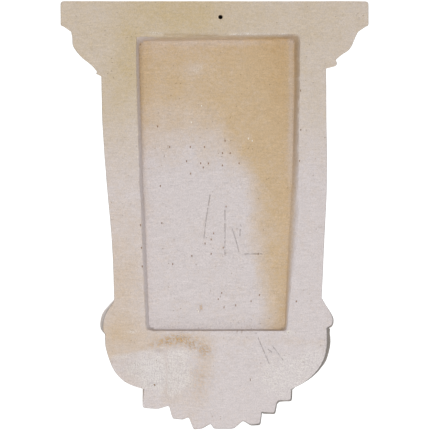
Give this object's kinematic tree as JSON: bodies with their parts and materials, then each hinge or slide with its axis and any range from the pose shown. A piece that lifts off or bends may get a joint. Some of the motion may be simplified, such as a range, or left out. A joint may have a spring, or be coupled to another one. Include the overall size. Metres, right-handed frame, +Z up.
{
  "type": "leaf corbel",
  "caption": "Cast plaster wall corbel: moulded capital, leaf down the front, fluted bowl ending in hanging tips, flat back with a shallow hollow and a nail hole.",
  "frame": {"origin": "on the flat back face, on the centre line between the nail hole and the hollow, 25 mm below the top face", "axes": "+Z up, +Y out of the flat back towards the wall, carved front towards -Y"},
  "size_m": [0.3085, 0.14, 0.4288],
  "materials": {
    "plaster": "cast plaster, matt and unpainted, with tan stains"
  },
  "bodies": {
    "root": {"corbel": "plaster"}
  },
  "joints": []
}
